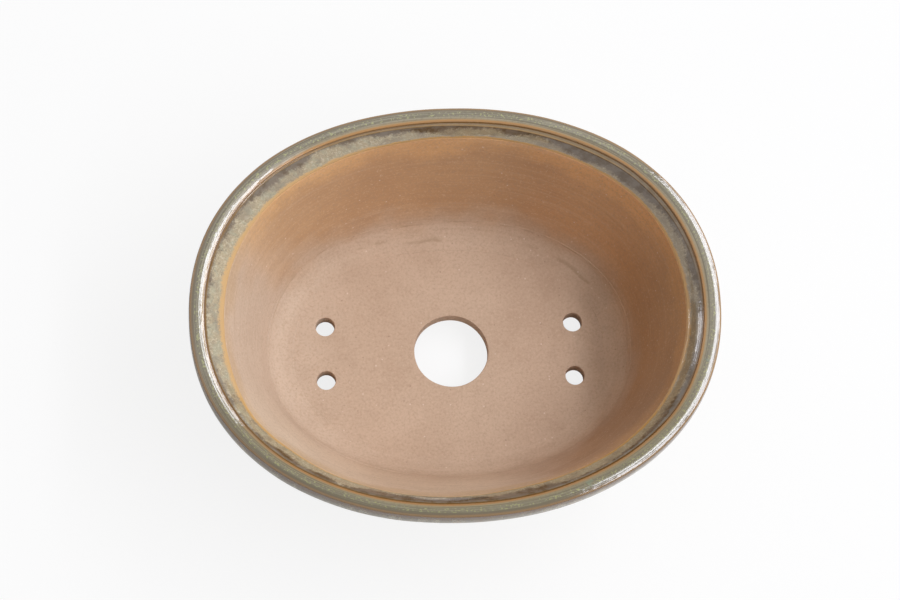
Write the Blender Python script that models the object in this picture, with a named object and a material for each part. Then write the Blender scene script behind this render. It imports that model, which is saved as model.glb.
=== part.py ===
# An oval bonsai pot of fired clay: a floor slab with drain and wire holes, a flaring wall, a coil worked into
# the inside corner, a thick lip hooked over the wall, a glaze coat and four feet.
# It stands on its feet at z = 0, with its long side along X and its mouth up. Sizes are in metres.

import math

import bmesh
import bpy
from mathutils import Vector

# The oval seen from above, and the heights
LIP_LENGTH = 0.1809
LIP_BREADTH = 0.1453
OVAL_POWER = 2.17  # 2 gives an ellipse, and a larger power gives squarer shoulders
INSIDE_DEPTH = 0.0550  # from the floor to the crown of the lip
FLOOR_THICKNESS = 0.0060
FOOT_HEIGHT = 0.0060

# How far in from the lip's outline the inner surfaces lie
RIDGE_INSET_AT_ENDS = 0.0056
RIDGE_INSET_AT_SIDES = 0.0046
GLAZE_LINE_INSET_AT_ENDS = 0.0127
GLAZE_LINE_INSET_AT_SIDES = 0.0090
FLOOR_INSET = 0.0280

# The wall and the coil in its inside corner
WALL_THICKNESS = 0.0065
WALL_BELLY = 0.0010  # how far the outside swells past a straight line at half its height
CORNER_RADIUS = 0.0066
COIL_EDGE = 0.0003  # the coil's two edges are worked out to this thickness

# The lip
LIP_HEIGHT = 0.0105
LIP_CROWN = 0.0009  # the lip's face rises this far above its inner ridge
LIP_OUTER_DROP = 0.0007  # and falls this far to its outer edge
LIP_EDGE_INSET = 0.0008  # the side swells this far out below that edge
LIP_SIDE_DRAFT = 0.0002  # and draws in this far at its lower edge
LIP_EDGE_ROUND = 0.0011
MOUTH_DEPTH = 0.0065  # from the crown down to the glaze line inside the mouth
STEP_DEPTH = 0.0009  # the small second ridge lies this far below the inner ridge
STEP_GROOVE = 0.0002

# The glaze, and the gaps that luted pieces keep
GLAZE_THICKNESS = 0.0005
LUTING_GAP = 0.0003
GLAZE_FOOT_LINE = 0.0030  # bare clay shows this far above the underside of the slab

# The holes in the slab
DRAIN_DIAMETER = 0.0263
DRAIN_SHIFT = 0.0008  # the drain hole was cut a little off the middle, along X
WIRE_HOLE_DIAMETER = 0.0068
WIRE_HOLES_APART_ALONG_X = 0.0888
WIRE_HOLES_APART_ALONG_Y = 0.0198
HOLE_EDGE_ROUND = 0.0007
SLAB_EDGE_ROUND = 0.0012

# The feet
FOOT_INSET = 0.0020  # from the slab's underside edge in to the foot
FOOT_WIDTH = 0.0090
FOOT_TAPER = 0.0012
FOOT_ANGLE = 40.0  # degrees round the oval from the X axis to the middle of a foot
FOOT_SPAN = 32.0  # degrees that a foot covers
FOOT_EDGE_ROUND = 0.0009

# How finely the curves are divided
SEGMENTS = 72
WALL_STEPS = 4
COIL_STEPS = 5
FOOT_STEPS = 8
DRAIN_SEGMENTS = 36
WIRE_HOLE_SEGMENTS = 16

# Heights that follow from the sizes above
SLAB_UNDERSIDE = FOOT_HEIGHT
FLOOR_LEVEL = SLAB_UNDERSIDE + FLOOR_THICKNESS
CROWN_LEVEL = FLOOR_LEVEL + INSIDE_DEPTH
GLAZE_LINE_LEVEL = CROWN_LEVEL - MOUTH_DEPTH
WALL_TOP = GLAZE_LINE_LEVEL - LUTING_GAP
WALL_FOOT = FLOOR_LEVEL + LUTING_GAP
LIP_UNDERSIDE = CROWN_LEVEL - LIP_HEIGHT


def clear_scene():
    for thing in list(bpy.data.objects):
        bpy.data.objects.remove(thing, do_unlink=True)


def signed_power(value, power):
    return math.copysign(abs(value) ** power, value)


def oval_point(half_length, half_breadth, level, turn):
    """The point of a rounded-off oval at an angle of turn round it."""
    x = half_length * signed_power(math.cos(turn), 2 / OVAL_POWER)
    y = half_breadth * signed_power(math.sin(turn), 2 / OVAL_POWER)
    return Vector((x, y, level))


def oval_ring(end_inset, side_inset, level):
    """A ring of points round the pot, set in from the outline of the lip."""
    half_length = LIP_LENGTH / 2 - end_inset
    half_breadth = LIP_BREADTH / 2 - side_inset
    turns = [math.tau * i / SEGMENTS for i in range(SEGMENTS)]
    return [oval_point(half_length, half_breadth, level, turn) for turn in turns]


def inner_insets(level):
    """How far in the wall's inner face lies at a height: at the ends of the oval, and at its sides."""
    share = (level - FLOOR_LEVEL) / (GLAZE_LINE_LEVEL - FLOOR_LEVEL)
    at_ends = FLOOR_INSET + (GLAZE_LINE_INSET_AT_ENDS - FLOOR_INSET) * share
    at_sides = FLOOR_INSET + (GLAZE_LINE_INSET_AT_SIDES - FLOOR_INSET) * share
    return at_ends, at_sides


def outer_insets(level, sunk=0.0):
    """The same for the outside of the glazed wall, or for a surface sunk below it."""
    share = (level - SLAB_UNDERSIDE) / (LIP_UNDERSIDE - SLAB_UNDERSIDE)
    belly = WALL_BELLY * math.sin(math.pi * min(max(share, 0.0), 1.0))
    at_ends, at_sides = inner_insets(level)
    return at_ends - WALL_THICKNESS - belly + sunk, at_sides - WALL_THICKNESS - belly + sunk


def levels(low, high, steps):
    return [low + (high - low) * i / steps for i in range(steps + 1)]


def lip_stations(with_step):
    """The glazed surface from the glaze line inside the mouth, over the lip and under it to the wall.
    Each station is its inset at the ends, its inset at the sides and its level."""
    line = (GLAZE_LINE_INSET_AT_ENDS, GLAZE_LINE_INSET_AT_SIDES)
    ridge = (RIDGE_INSET_AT_ENDS, RIDGE_INSET_AT_SIDES)
    edge = (LIP_EDGE_INSET, LIP_EDGE_INSET)
    shoulder = LIP_EDGE_INSET * 0.4

    def between(start, end, share, depth):
        at_ends = start[0] + (end[0] - start[0]) * share
        at_sides = start[1] + (end[1] - start[1]) * share
        return at_ends, at_sides, CROWN_LEVEL - depth

    step = LIP_CROWN + STEP_DEPTH
    slope = MOUTH_DEPTH - step
    stations = [
        between(line, ridge, 0.00, MOUTH_DEPTH),
        between(line, ridge, 0.07, step + slope * 0.80),
        between(line, ridge, 0.30, step + slope * 0.45),
        between(line, ridge, 0.60, step + slope * 0.15),
    ]
    if with_step:
        stations.append(between(line, ridge, 0.82, step))
        stations.append(between(line, ridge, 0.91, step + STEP_GROOVE))
    stations += [
        between(ridge, edge, 0.00, LIP_CROWN),
        between(ridge, edge, 0.26, LIP_CROWN * 0.36),
        between(ridge, edge, 0.56, 0.0),
        between(ridge, edge, 0.80, LIP_OUTER_DROP * 0.40),
        between(ridge, edge, 1.00, LIP_OUTER_DROP),
        (shoulder, shoulder, CROWN_LEVEL - LIP_OUTER_DROP - LIP_EDGE_ROUND),
        (0.0, 0.0, CROWN_LEVEL - LIP_HEIGHT / 2),
        (LIP_SIDE_DRAFT, LIP_SIDE_DRAFT, LIP_UNDERSIDE + LIP_EDGE_ROUND),
        (LIP_SIDE_DRAFT + LIP_EDGE_ROUND, LIP_SIDE_DRAFT + LIP_EDGE_ROUND, LIP_UNDERSIDE),
        (*outer_insets(LIP_UNDERSIDE), LIP_UNDERSIDE),
    ]
    return stations


def glazed_surface(with_step):
    """Rings over the whole glazed surface, ending at the glaze line above the feet."""
    foot_line = SLAB_UNDERSIDE + GLAZE_FOOT_LINE
    stations = lip_stations(with_step)
    for level in reversed(levels(foot_line, LIP_UNDERSIDE, WALL_STEPS)[:-1]):
        stations.append((*outer_insets(level), level))
    return [oval_ring(*station) for station in stations]


def sunk(rings, depth):
    """The same rings moved into the clay by one depth, square to the surface in each upright section."""
    count = len(rings[0])
    moved = [[None] * count for _ in rings]
    for i in range(count):
        along = rings[0][(i + 1) % count] - rings[0][i - 1]
        outward = Vector((along.y, -along.x, 0)).normalized()
        path = [Vector((ring[i].dot(outward), ring[i].z)) for ring in rings]
        inward = []
        for start, end in zip(path, path[1:]):
            run = (end - start).normalized()
            inward.append(Vector((run.y, -run.x)))
        for j, ring in enumerate(rings):
            before = inward[max(j - 1, 0)]
            after = inward[min(j, len(inward) - 1)]
            shift = (before + after) * depth / (1 + before.dot(after))
            moved[j][i] = ring[i] + outward * shift.x + Vector((0, 0, shift.y))
    return moved


def trimmed(lower, upper, level):
    """The ring where the surface between two rings crosses one level."""
    return [start.lerp(end, (level - start.z) / (end.z - start.z)) for start, end in zip(lower, upper)]


def clay_material(name, colour, roughness):
    material = bpy.data.materials.new(name)
    material.use_nodes = True
    shader = material.node_tree.nodes["Principled BSDF"]
    shader.inputs["Base Color"].default_value = (*colour, 1)
    shader.inputs["Roughness"].default_value = roughness
    shader.inputs["Metallic"].default_value = 0.0
    return material


def finished(name, mesh_builder, material):
    """Turns a bmesh into a named, smooth-shaded object with its faces outwards."""
    bmesh.ops.recalc_face_normals(mesh_builder, faces=mesh_builder.faces)
    mesh = bpy.data.meshes.new(name)
    mesh_builder.to_mesh(mesh)
    mesh_builder.free()
    mesh.shade_smooth()
    mesh.set_sharp_from_angle(angle=math.radians(40))
    piece = bpy.data.objects.new(name, mesh)
    bpy.context.scene.collection.objects.link(piece)
    if material:
        mesh.materials.append(material)
    return piece


def ring_skin(builder, rings, closed):
    """Faces between each ring and the next, and from the last back to the first where it is closed."""
    rows = [[builder.verts.new(point) for point in ring] for ring in rings]
    pairs = list(zip(rows, rows[1:]))
    if closed:
        pairs.append((rows[-1], rows[0]))
    count = len(rows[0])
    for lower, upper in pairs:
        for i in range(count):
            j = (i + 1) % count
            builder.faces.new((lower[i], lower[j], upper[j], upper[i]))
    return rows


def hoop(name, rings, material):
    """A closed body that runs right round the pot, with these rings round its section."""
    builder = bmesh.new()
    ring_skin(builder, rings, closed=True)
    return finished(name, builder, material)


def plug(name, rings, material):
    """A closed body with a flat face at each end."""
    builder = bmesh.new()
    rows = ring_skin(builder, rings, closed=False)
    builder.faces.new(rows[0])
    builder.faces.new(rows[-1])
    return finished(name, builder, material)


def round_ring(middle_x, middle_y, radius, level, count):
    turns = [math.tau * i / count for i in range(count)]
    return [
        Vector((middle_x + radius * math.cos(turn), middle_y + radius * math.sin(turn), level))
        for turn in turns
    ]


def hole_cutter(name, middle_x, middle_y, diameter, count):
    """A cutter for a straight hole through the slab whose two edges are rounded over."""
    radius = diameter / 2
    rounded = HOLE_EDGE_ROUND
    beyond = FLOOR_THICKNESS / 2
    profile = [
        (radius + rounded, SLAB_UNDERSIDE - beyond),
        (radius + rounded, SLAB_UNDERSIDE),
        (radius + rounded * 0.3, SLAB_UNDERSIDE + rounded * 0.3),
        (radius, SLAB_UNDERSIDE + rounded),
        (radius, FLOOR_LEVEL - rounded),
        (radius + rounded * 0.3, FLOOR_LEVEL - rounded * 0.3),
        (radius + rounded, FLOOR_LEVEL),
        (radius + rounded, FLOOR_LEVEL + beyond),
    ]
    rings = [round_ring(middle_x, middle_y, reach, level, count) for reach, level in profile]
    cutter = plug(name, rings, None)
    cutter.hide_render = True
    cutter.display_type = "WIRE"
    return cutter


def cut(piece, cutter):
    boolean = piece.modifiers.new(cutter.name, "BOOLEAN")
    boolean.operation = "DIFFERENCE"
    boolean.solver = "EXACT"
    boolean.object = cutter


def make_floor_slab(clay):
    behind_glaze = GLAZE_THICKNESS + LUTING_GAP
    rounded = SLAB_EDGE_ROUND
    profile = [
        (rounded, SLAB_UNDERSIDE),
        (rounded * 0.3, SLAB_UNDERSIDE + rounded * 0.3),
        (0.0, SLAB_UNDERSIDE + rounded),
        (0.0, FLOOR_LEVEL),
    ]
    rings = [oval_ring(*outer_insets(level, behind_glaze + inset), level) for inset, level in profile]
    slab = plug("floor_slab", rings, clay)
    cut(slab, hole_cutter("drain_hole_cutter", DRAIN_SHIFT, 0.0, DRAIN_DIAMETER, DRAIN_SEGMENTS))
    for along in (-1, 1):
        for across in (-1, 1):
            end = "left" if along < 0 else "right"
            side = "front" if across < 0 else "back"
            name = f"wire_hole_cutter_{side}_{end}"
            middle_x = along * WIRE_HOLES_APART_ALONG_X / 2
            middle_y = across * WIRE_HOLES_APART_ALONG_Y / 2
            cut(slab, hole_cutter(name, middle_x, middle_y, WIRE_HOLE_DIAMETER, WIRE_HOLE_SEGMENTS))
    return slab


def make_wall(clay):
    """The wall stands on the slab. Its inner face is bare clay, and the glaze lies over its outer face."""
    behind_glaze = GLAZE_THICKNESS + LUTING_GAP
    climb = levels(WALL_FOOT, WALL_TOP, WALL_STEPS)
    outside = [(*outer_insets(level, behind_glaze), level) for level in climb]
    inside = [(*inner_insets(level), level) for level in (WALL_TOP, WALL_FOOT)]
    return hoop("wall", [oval_ring(*station) for station in outside + inside], clay)


def make_corner_coil(clay):
    """A coil pressed into the corner and wiped hollow, from the wall down to the floor."""
    edge = LUTING_GAP + COIL_EDGE
    hollow = CORNER_RADIUS - edge
    section = [(LUTING_GAP, LUTING_GAP), (CORNER_RADIUS, LUTING_GAP)]
    for i in range(COIL_STEPS + 1):
        turn = math.pi / 2 * i / COIL_STEPS
        section.append((CORNER_RADIUS - hollow * math.sin(turn), CORNER_RADIUS - hollow * math.cos(turn)))
    section.append((LUTING_GAP, CORNER_RADIUS))
    rings = []
    for from_wall, from_floor in section:
        level = FLOOR_LEVEL + from_floor
        at_ends, at_sides = inner_insets(level)
        rings.append(oval_ring(at_ends + from_wall, at_sides + from_wall, level))
    return hoop("corner_coil", rings, clay)


def make_rim_band(clay):
    """The lip's clay, under the glaze. It sits on top of the wall and hooks down over the outside of it."""
    on_lip = [oval_ring(*station) for station in lip_stations(with_step=False)]
    rings = sunk(on_lip, GLAZE_THICKNESS + LUTING_GAP)[:-1]
    seat = WALL_TOP + LUTING_GAP
    rings[0] = trimmed(rings[0], rings[1], seat)
    hook = LIP_UNDERSIDE + GLAZE_THICKNESS + LUTING_GAP
    rings.append(oval_ring(*outer_insets(hook, GLAZE_THICKNESS), hook))
    rings.append(oval_ring(*outer_insets(seat, GLAZE_THICKNESS), seat))
    return hoop("rim_band", rings, clay)


def make_glaze_coat(glaze):
    """One skin of glaze, thinner than the clay's gaps are wide, whose back follows its face."""
    face = glazed_surface(with_step=True)
    back = sunk(glazed_surface(with_step=False), GLAZE_THICKNESS)
    return hoop("glaze_coat", face + back[::-1], glaze)


def make_foot(name, along, across, clay):
    """A block of clay that follows the oval under one shoulder of the pot."""
    base_ends, base_sides = outer_insets(SLAB_UNDERSIDE)
    top = SLAB_UNDERSIDE - LUTING_GAP
    section = [
        (FOOT_INSET, top),
        (FOOT_INSET + FOOT_WIDTH, top),
        (FOOT_INSET + FOOT_WIDTH - FOOT_TAPER, 0.0),
        (FOOT_INSET + FOOT_TAPER, 0.0),
    ]
    builder = bmesh.new()
    slices = []
    for i in range(FOOT_STEPS + 1):
        turn = math.radians(FOOT_ANGLE + FOOT_SPAN * (i / FOOT_STEPS - 0.5))
        corners = []
        for inset, level in section:
            half_length = LIP_LENGTH / 2 - base_ends - inset
            half_breadth = LIP_BREADTH / 2 - base_sides - inset
            point = oval_point(half_length, half_breadth, level, turn)
            corners.append(builder.verts.new((along * point.x, across * point.y, point.z)))
        slices.append(corners)
    builder.faces.new(slices[0])
    builder.faces.new(slices[-1])
    for start, end in zip(slices, slices[1:]):
        for j in range(len(section)):
            k = (j + 1) % len(section)
            builder.faces.new((start[j], start[k], end[k], end[j]))
    foot = finished(name, builder, clay)
    rounding = foot.modifiers.new("rounded_edges", "BEVEL")
    rounding.width = FOOT_EDGE_ROUND
    rounding.segments = 2
    rounding.limit_method = "ANGLE"
    rounding.angle_limit = math.radians(40)
    return foot


def make_pot():
    clear_scene()
    bare_clay = (0.58, 0.40, 0.29)
    foot_clay = (0.50, 0.33, 0.22)
    make_floor_slab(clay_material("floor_clay", bare_clay, 0.85))
    make_wall(clay_material("wall_clay", bare_clay, 0.85))
    make_corner_coil(clay_material("coil_clay", bare_clay, 0.85))
    make_rim_band(clay_material("rim_clay", foot_clay, 0.85))
    make_glaze_coat(clay_material("olive_glaze", (0.21, 0.17, 0.09), 0.35))
    for along, end in ((-1, "left"), (1, "right")):
        for across, side in ((-1, "front"), (1, "back")):
            name = f"foot_{side}_{end}"
            make_foot(name, along, across, clay_material(f"{name}_clay", foot_clay, 0.9))


make_pot()
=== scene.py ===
import math

import bmesh
import bpy
import numpy as np
from mathutils import Matrix, Vector, noise
from mathutils.geometry import delaunay_2d_cdt


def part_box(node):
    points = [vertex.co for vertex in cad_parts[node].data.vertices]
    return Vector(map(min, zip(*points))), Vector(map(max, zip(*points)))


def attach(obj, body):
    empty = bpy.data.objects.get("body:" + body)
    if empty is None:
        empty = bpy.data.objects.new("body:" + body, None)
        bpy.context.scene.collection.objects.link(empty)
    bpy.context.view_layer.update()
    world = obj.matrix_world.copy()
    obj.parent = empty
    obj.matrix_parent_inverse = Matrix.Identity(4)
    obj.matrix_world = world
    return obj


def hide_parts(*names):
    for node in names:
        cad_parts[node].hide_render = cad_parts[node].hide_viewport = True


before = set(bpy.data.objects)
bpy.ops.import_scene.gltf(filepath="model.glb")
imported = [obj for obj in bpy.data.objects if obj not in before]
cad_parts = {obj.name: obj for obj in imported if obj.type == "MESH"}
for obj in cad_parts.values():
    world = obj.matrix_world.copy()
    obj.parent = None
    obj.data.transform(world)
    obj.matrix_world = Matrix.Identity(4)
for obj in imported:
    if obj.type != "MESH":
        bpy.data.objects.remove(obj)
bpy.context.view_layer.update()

OVAL_POWER = 2.17
lip_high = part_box("glaze_coat")[1]
slab_low, slab_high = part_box("floor_slab")
LIP_HALF_LENGTH = lip_high.x - 0.00004
LIP_HALF_BREADTH = lip_high.y - 0.00008
CROWN_LEVEL = lip_high.z - 0.00010
FLOOR_LEVEL = slab_high.z
SLAB_UNDERSIDE = slab_low.z
DRAIN_RADIUS = 0.01315
DRAIN_SHIFT = 0.0008
WIRE_HOLE_RADIUS = 0.0034
WIRE_HOLE_X = 0.0444
WIRE_HOLE_Y = 0.0099
WIRE_HOLE_SHIFT = 0.0004
HOLE_EDGE_ROUND = 0.0003
SLAB_EDGE_ROUND = 0.0012
SLAB_SPACING = 0.0016
SLAB_SIDE_BULGE = 0.0003
SLAB_EDGE_POINTS = 300
DRAIN_EDGE_POINTS = 120
WIRE_HOLE_EDGE_POINTS = 56
HOLE_OVAL_SHARE = 0.006
HOLE_WAVE_SHARE = 0.003


def oval(half_length, half_breadth, level, turns):
    """Points of the pot's rounded oval, one for each angle in turns."""
    cosine, sine = np.cos(turns), np.sin(turns)
    x = half_length * np.sign(cosine) * np.abs(cosine) ** (2 / OVAL_POWER)
    y = half_breadth * np.sign(sine) * np.abs(sine) ** (2 / OVAL_POWER)
    return np.stack([x, y, np.broadcast_to(level, x.shape)], axis=-1)


def hand_wobble(points, size, depth):
    """How far a hand-made surface stands off its ideal one at each point: smooth swells of one size."""
    flat = points.reshape(-1, 3) / size
    values = [noise.noise(Vector(point)) for point in flat]
    return np.array(values).reshape(points.shape[:-1]) * depth


def make_piece(name, points, faces):
    """A smooth-shaded object from points and faces, with all its faces turned outwards."""
    mesh = bpy.data.meshes.new(name)
    mesh.from_pydata(np.asarray(points, float).tolist(), [], faces)
    shell = bmesh.new()
    shell.from_mesh(mesh)
    bmesh.ops.recalc_face_normals(shell, faces=shell.faces)
    shell.to_mesh(mesh)
    shell.free()
    mesh.shade_smooth()
    piece = bpy.data.objects.new(name, mesh)
    bpy.context.scene.collection.objects.link(piece)
    return piece


def flat_points(plan, level):
    return np.column_stack([plan, np.full(len(plan), level)])


def slab_rows(plan, outward, profile):
    """Rows of points down an edge of the slab: each profile step is (outward, level)."""
    return [flat_points(plan + outward * reach, level) for reach, level in profile]


def inside_plan(points, half_length, half_breadth, holes):
    """Which points lie inside the slab's oval and clear of its holes, seen from above."""
    along = (np.abs(points[:, 0]) / half_length) ** OVAL_POWER
    across = (np.abs(points[:, 1]) / half_breadth) ** OVAL_POWER
    kept = along + across < 1
    for x, y, radius in holes:
        kept &= np.hypot(points[:, 0] - x, points[:, 1] - y) > radius
    return kept


holes = [(DRAIN_SHIFT, 0.0, DRAIN_RADIUS, DRAIN_EDGE_POINTS)]
for x in (-WIRE_HOLE_X, WIRE_HOLE_X):
    for y in (-WIRE_HOLE_Y, WIRE_HOLE_Y):
        holes.append((x + WIRE_HOLE_SHIFT, y, WIRE_HOLE_RADIUS, WIRE_HOLE_EDGE_POINTS))
half_length, half_breadth = slab_high.x + SLAB_SIDE_BULGE, slab_high.y + SLAB_SIDE_BULGE
outline_turns = np.linspace(0, math.tau, SLAB_EDGE_POINTS, endpoint=False)
rims = [oval(half_length, half_breadth, 0.0, outline_turns)[:, :2]]
outwards = [rims[0] / np.linalg.norm(rims[0], axis=1, keepdims=True)]
for x, y, radius, count in holes:
    turns = np.linspace(0, math.tau, count, endpoint=False)
    direction = np.column_stack([np.cos(turns), np.sin(turns)])
    out_of_round = 1 + HOLE_OVAL_SHARE * np.cos(2 * turns + x * 900) + HOLE_WAVE_SHARE * np.cos(5 * turns)
    rims.append(np.array([x, y]) + direction * ((radius + HOLE_EDGE_ROUND) * out_of_round)[:, None])
    outwards.append(-direction)
xs = np.arange(-half_length, half_length, SLAB_SPACING)
ys = np.arange(-half_breadth, half_breadth, SLAB_SPACING)
grid = np.stack(np.meshgrid(xs, ys), axis=-1).reshape(-1, 2)
clear = [(x, y, radius + HOLE_EDGE_ROUND + SLAB_SPACING * 0.6) for x, y, radius, _ in holes]
grid = grid[inside_plan(grid, half_length - SLAB_SPACING, half_breadth - SLAB_SPACING, clear)]
plan = np.vstack(rims + [grid])
edges, start = [], 0
for rim in rims:
    edges += [(start + i, start + (i + 1) % len(rim)) for i in range(len(rim))]
    start += len(rim)
triangulated = delaunay_2d_cdt([Vector(point) for point in plan], edges, [], 0, 1e-7)
corners = np.array([tuple(point) for point in triangulated[0]])
centres = [corners[list(face)].mean(axis=0) for face in triangulated[2]]
hollow = [(x, y, radius + HOLE_EDGE_ROUND * 0.98) for x, y, radius, _ in holes]
kept = inside_plan(np.array(centres), half_length, half_breadth, hollow)
top_faces = [tuple(face) for face, keep in zip(triangulated[2], kept) if keep]
points = [flat_points(corners, FLOOR_LEVEL), flat_points(corners, SLAB_UNDERSIDE)]
faces = top_faces + [tuple(i + len(corners) for i in reversed(face)) for face in top_faces]
total, start = 2 * len(corners), 0
for number, (rim, outward) in enumerate(zip(rims, outwards)):
    rounded = SLAB_EDGE_ROUND if number == 0 else HOLE_EDGE_ROUND
    upper = []
    for bend in np.radians([22.5, 45, 67.5, 90]):
        sideways = rounded * math.sin(bend) * (number > 0)
        upper.append((sideways, FLOOR_LEVEL - rounded * (1 - math.cos(bend))))
    lower = [(reach, SLAB_UNDERSIDE + FLOOR_LEVEL - level) for reach, level in reversed(upper)]
    count = len(rim)
    ring = [start + i for i in range(count)]
    for row in slab_rows(rim, outward, upper + lower):
        points.append(row)
        fresh = [total + i for i in range(count)]
        total += count
        faces += [(ring[i], fresh[i], fresh[(i + 1) % count], ring[(i + 1) % count]) for i in range(count)]
        ring = fresh
    closing = [len(corners) + start + i for i in range(count)]
    faces += [(ring[i], closing[i], closing[(i + 1) % count], ring[(i + 1) % count]) for i in range(count)]
    start += count
points = np.vstack(points)
points[:, 2] += hand_wobble(points, 0.022, 0.00010) + hand_wobble(points + 0.5, 0.0045, 0.00003)
floor_slab = make_piece("clay_floor_slab", points, faces)

CLAY = (0.556, 0.397, 0.286)
CLAY_PALE = (0.658, 0.483, 0.357)
CLAY_DARK = (0.432, 0.290, 0.197)
PALE_GROG = (0.80, 0.66, 0.55)
DARK_GROG = (0.25, 0.15, 0.10)
# Painted light and shade on the inside clay, by place: the next eight tints make the walls and floor lighter
# or darker where light or shade falls, except NEAR_GLAZE_FRONT, a plain darker, warmer tint under the glaze
# line at the front and left.
PAINTED_SHADE_BACK_RIGHT = (0.93, 0.735, 0.515)
PAINTED_LIGHT_NEAR_GLAZE_BACK = (1.26, 1.22, 1.07)
NEAR_GLAZE_FRONT = (0.93, 0.87, 0.76)
PAINTED_LIGHT_LEFT = (1.0, 1.07, 1.12)
PAINTED_SHADOW_RIGHT_FLOOR = (0.95, 0.93, 0.92)
PAINTED_LIGHT_FRONT = (1.12, 1.15, 1.14)
PAINTED_LIGHT_BACK_RIGHT = (1.22, 1.18, 1.14)
PAINTED_SHADE_FRONT_RIGHT = (0.78, 0.80, 0.88)
SEAM_SHADE = (0.76, 0.74, 0.68)
# Where the painted light and shade on the walls starts above the floor, and where it is full.
PAINTED_LIGHT_STARTS = FLOOR_LEVEL + 0.001
PAINTED_LIGHT_FULL = FLOOR_LEVEL + 0.019


def put(tree, kind, settings=None, **values):
    """Adds one shader node. A value is a number, a colour or the output socket of another node."""
    made = tree.nodes.new("ShaderNode" + kind)
    for name, setting in (settings or {}).items():
        setattr(made, name, setting)
    for name, value in values.items():
        socket = made.inputs[int(name[1:])] if name[1:].isdigit() else made.inputs[name.replace("_", " ")]
        if isinstance(value, bpy.types.NodeSocket):
            tree.links.new(value, socket)
        elif isinstance(value, tuple) and len(value) == 3 and socket.type == "RGBA":
            socket.default_value = (*value, 1)
        else:
            socket.default_value = value
    return made.outputs


def grain(tree, place, scale, detail=3, roughness=0.55, distortion=0.0):
    return put(tree, "TexNoise", None, Vector=place, Scale=scale, Detail=detail, Roughness=roughness,
               Distortion=distortion)["Fac"]


def between(tree, value, low, high, start=0.0, end=1.0, smooth=True):
    """Maps value from low..high to start..end, held at both ends."""
    kind = "SMOOTHSTEP" if smooth else "LINEAR"
    return put(tree, "MapRange", {"interpolation_type": kind}, Value=value, From_Min=low, From_Max=high,
               To_Min=start, To_Max=end)["Result"]


def sums(tree, operation, first, second):
    return put(tree, "Math", {"operation": operation}, i0=first, i1=second)["Value"]


def over(tree, share, under, top, blend="MIX"):
    """Lays one colour over another by a share from 0 to 1."""
    return put(tree, "Mix", {"data_type": "RGBA", "blend_type": blend}, i0=share, i6=under, i7=top)[2]


def layered(tree, colour, layers, blend="MIX"):
    """Lays several colours over the first one in order. Each layer is (share, colour)."""
    for share, top in layers:
        colour = over(tree, share, colour, top, blend)
    return colour


def stretched(tree, place, scale):
    return put(tree, "Mapping", None, Vector=place, Scale=scale)["Vector"]


def times(tree, first, second):
    return sums(tree, "MULTIPLY", first, second)


def window(tree, value, rise_from, rise_to, fall_from, fall_to):
    """1 between the two inner values, falling to 0 at the outer ones."""
    falling = between(tree, value, fall_from, fall_to, 1.0, 0.0)
    return times(tree, between(tree, value, rise_from, rise_to), falling)


def finish_material(name, roughness, specular):
    material = bpy.data.materials.new(name)
    material.use_nodes = True
    tree = material.node_tree
    shader = tree.nodes["Principled BSDF"]
    shader.inputs["Roughness"].default_value = roughness
    shader.inputs["Specular IOR Level"].default_value = specular
    return material, tree, shader


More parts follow.
